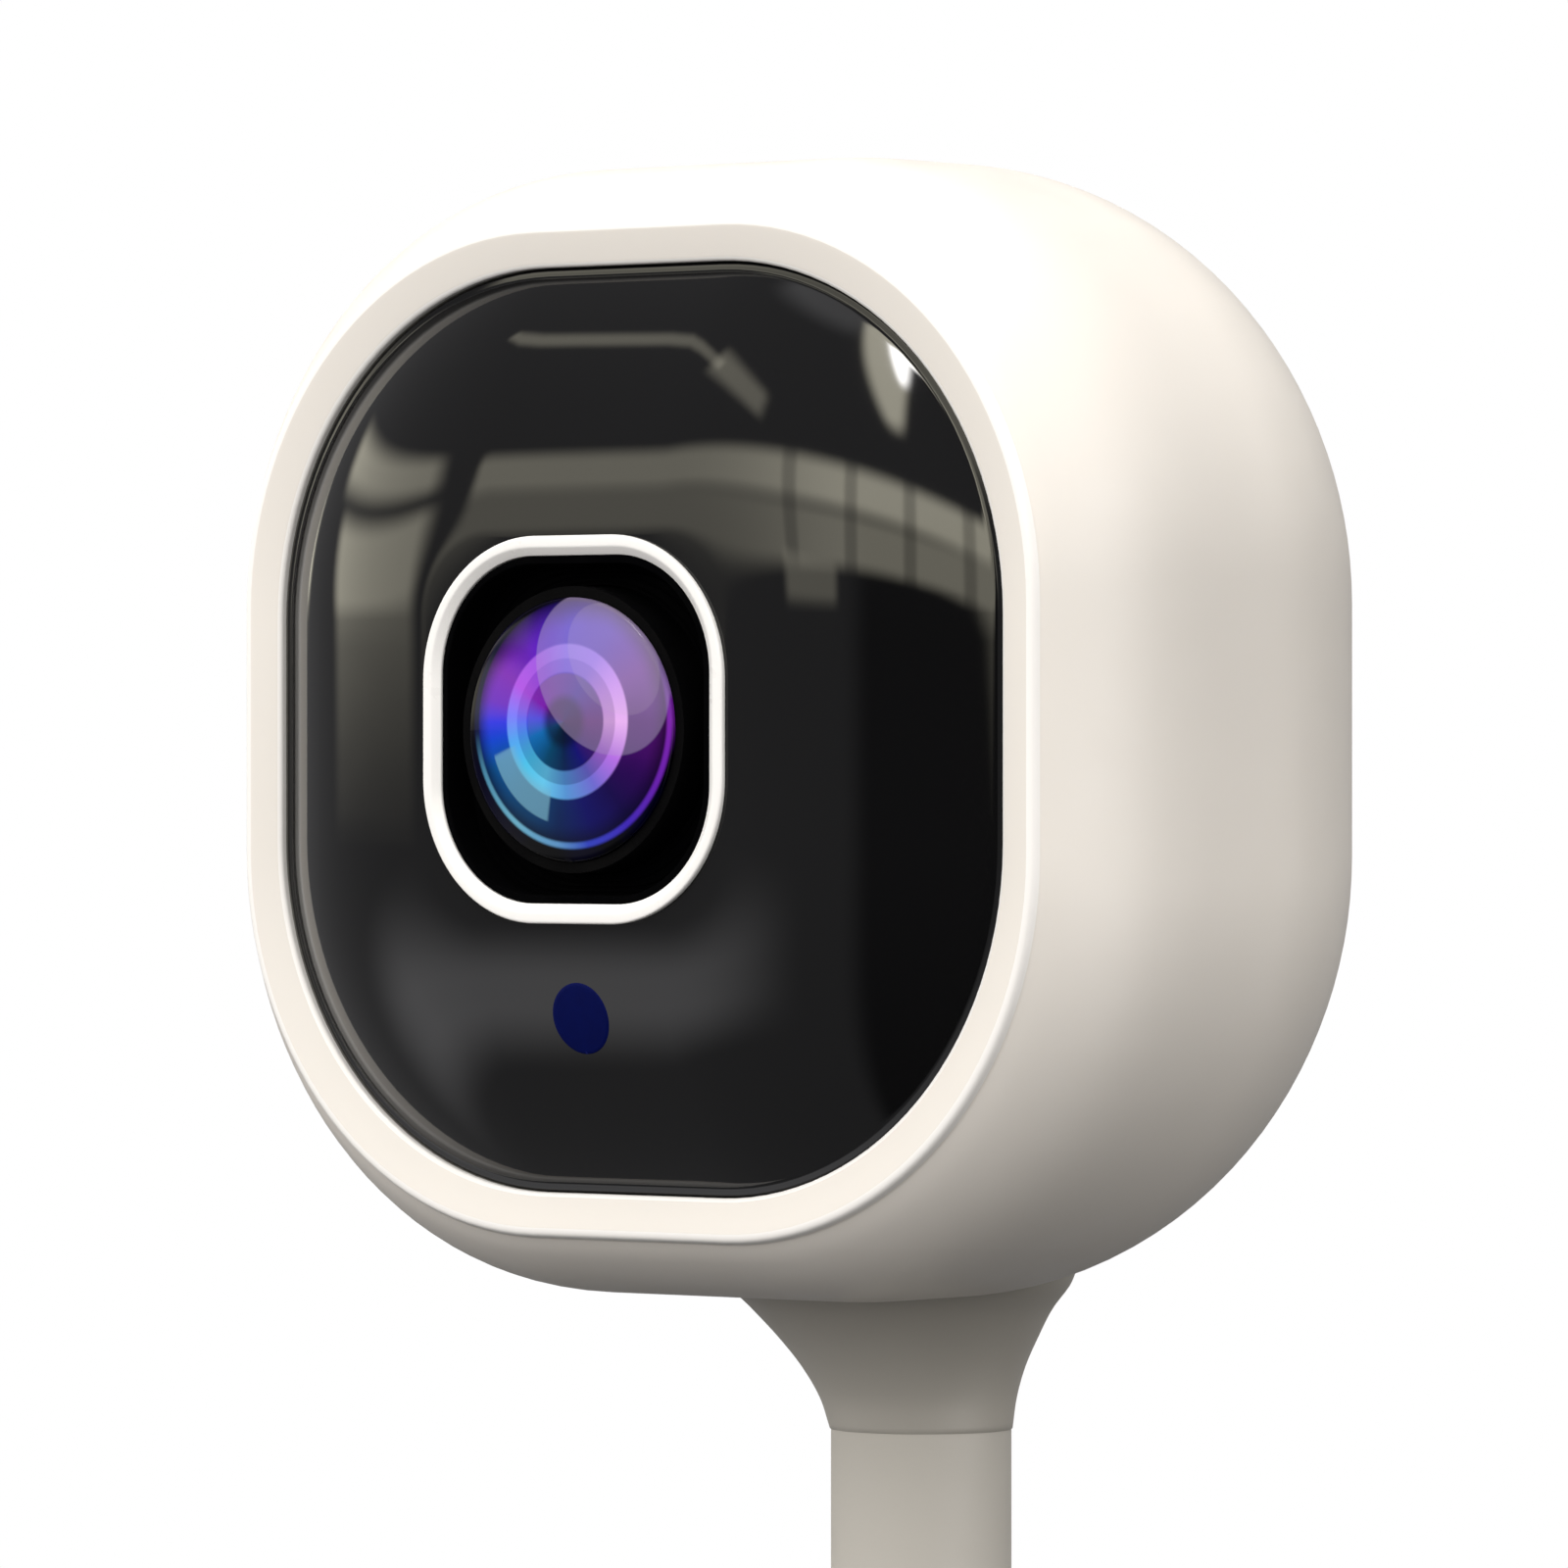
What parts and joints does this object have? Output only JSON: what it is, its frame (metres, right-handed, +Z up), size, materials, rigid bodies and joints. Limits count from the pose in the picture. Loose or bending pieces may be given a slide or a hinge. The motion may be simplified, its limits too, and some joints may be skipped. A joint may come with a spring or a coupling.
{
  "type": "security camera",
  "caption": "Small rounded-square security camera head with a domed black front, on a flexible gooseneck hose ending in a USB-A plug.",
  "frame": {"origin": "middle of the plug's shoulder, where the metal USB shell leaves the over-moulding", "axes": "+Z up the hose, -Y the way the lens looks, +X to the right seen from the front"},
  "size_m": [0.0566, 0.0434, 0.2158],
  "materials": {
    "housing_white": "warm white satin-gloss ABS moulding",
    "panel_black": "polished infrared-passing black acrylic",
    "rim_white": "bright white gloss moulding",
    "baffle_black": "light-absorbing matt black",
    "lens_glass": "coated optical glass",
    "indicator_blue": "dark blue smoked window",
    "barrel_black": "black glass-filled nylon",
    "coil_plastic": "moulded black component body",
    "chip_black": "epoxy chip package",
    "circuit_board": "green solder mask on glass epoxy",
    "led_resin": "clear epoxy lamp body",
    "heat_alloy": "bare extruded aluminium",
    "tinned_steel": "zinc-plated steel",
    "neck_white": "satin warm white thermoplastic",
    "hose_rubber": "satin warm white silicone sleeve",
    "cable_jacket": "black cable jacket",
    "filter_black": "thin black sliding frame",
    "filter_glass": "coated infrared-cut glass",
    "button_grey": "light grey moulded key",
    "plug_white": "satin warm white over-moulding",
    "plug_steel": "nickel-plated steel",
    "tongue_white": "white insulating resin",
    "contact_gold": "gold-plated copper"
  },
  "bodies": {
    "plug": {"plug_cable": "cable_jacket", "plug_contacts": "contact_gold", "plug_ferrule": "tinned_steel", "plug_overmould": "plug_white", "plug_shell": "plug_steel", "plug_tongue": "tongue_white", "strain_relief": "plug_white"},
    "hose_1": {"cable_1": "cable_jacket", "gooseneck_core_1": "tinned_steel", "hose_sleeve_1": "hose_rubber"},
    "hose_2": {"cable_2": "cable_jacket", "gooseneck_core_2": "tinned_steel", "hose_sleeve_2": "hose_rubber"},
    "hose_3": {"cable_3": "cable_jacket", "gooseneck_core_3": "tinned_steel", "hose_sleeve_3": "hose_rubber"},
    "hose_4": {"cable_4": "cable_jacket", "gooseneck_core_4": "tinned_steel", "hose_sleeve_4": "hose_rubber"},
    "hose_5": {"cable_5": "cable_jacket", "gooseneck_core_5": "tinned_steel", "hose_sleeve_5": "hose_rubber"},
    "hose_6": {"cable_6": "cable_jacket", "gooseneck_core_6": "tinned_steel", "hose_sleeve_6": "hose_rubber"},
    "hose_7": {"cable_7": "cable_jacket", "gooseneck_core_7": "tinned_steel", "hose_sleeve_7": "hose_rubber"},
    "head": {"antenna": "tinned_steel", "board_screws": "tinned_steel", "card_board": "circuit_board", "front_housing": "housing_white", "front_lens": "lens_glass", "front_panel": "panel_black", "head_cable": "cable_jacket", "heat_spreader": "heat_alloy", "hose_sleeve_8": "hose_rubber", "image_sensor": "chip_black", "indicator_window": "indicator_blue", "ir_cut_coil": "coil_plastic", "ir_leds": "led_resin", "led_board": "circuit_board", "lens_baffle": "baffle_black", "lens_barrel": "barrel_black", "lens_holder": "barrel_black", "lens_rim": "rim_white", "main_board": "circuit_board", "microphone": "coil_plastic", "microsd_socket": "coil_plastic", "neck_flare": "neck_white", "neck_nut": "tinned_steel", "neck_stud": "tinned_steel", "rear_cover": "housing_white", "rear_lens": "lens_glass", "soc_chip": "chip_black", "speaker": "coil_plastic", "wifi_shield": "tinned_steel"},
    "ir_filter": {"ir_cut_glass": "filter_glass", "ir_filter_carrier": "filter_black"},
    "reset_key": {"reset_button": "button_grey"}
  },
  "joints": [
    {"name": "hose_pitch_1", "type": "hinge", "parent": "plug", "child": "hose_1", "pos_m": [0, 0, 0.038], "axis": [1, 0, 0], "range_deg": [-22.5, 22.5]},
    {"name": "hose_roll_1", "type": "hinge", "parent": "hose_1", "child": "hose_2", "pos_m": [0, 0, 0.051], "axis": [0, 1, 0], "range_deg": [-22.5, 22.5]},
    {"name": "hose_pitch_2", "type": "hinge", "parent": "hose_2", "child": "hose_3", "pos_m": [0, 0, 0.064], "axis": [1, 0, 0], "range_deg": [-22.5, 22.5]},
    {"name": "hose_roll_2", "type": "hinge", "parent": "hose_3", "child": "hose_4", "pos_m": [0, 0, 0.077], "axis": [0, 1, 0], "range_deg": [-22.5, 22.5]},
    {"name": "hose_pitch_3", "type": "hinge", "parent": "hose_4", "child": "hose_5", "pos_m": [0, 0, 0.09], "axis": [1, 0, 0], "range_deg": [-22.5, 22.5]},
    {"name": "hose_roll_3", "type": "hinge", "parent": "hose_5", "child": "hose_6", "pos_m": [0, 0, 0.103], "axis": [0, 1, 0], "range_deg": [-22.5, 22.5]},
    {"name": "hose_pitch_4", "type": "hinge", "parent": "hose_6", "child": "hose_7", "pos_m": [0, 0, 0.116], "axis": [1, 0, 0], "range_deg": [-22.5, 22.5]},
    {"name": "hose_roll_4", "type": "hinge", "parent": "hose_7", "child": "head", "pos_m": [0, 0, 0.129], "axis": [0, 1, 0], "range_deg": [-22.5, 22.5]},
    {"name": "ir_filter_slide", "type": "slide", "parent": "head", "child": "ir_filter", "axis": [1, 0, 0], "range_m": [0, 0.0072]},
    {"name": "reset_press", "type": "slide", "parent": "head", "child": "reset_key", "axis": [0, -1, 0], "range_m": [0, 0.0005], "stiffness_N_per_m": 800, "springref_m": -0.0006}
  ],
  "couplings": [
    {"joint": "hose_pitch_2", "follows": "hose_pitch_1", "ratio": 1},
    {"joint": "hose_roll_2", "follows": "hose_roll_1", "ratio": 1},
    {"joint": "hose_pitch_3", "follows": "hose_pitch_1", "ratio": 1},
    {"joint": "hose_roll_3", "follows": "hose_roll_1", "ratio": 1},
    {"joint": "hose_pitch_4", "follows": "hose_pitch_1", "ratio": 1},
    {"joint": "hose_roll_4", "follows": "hose_roll_1", "ratio": 1}
  ]
}
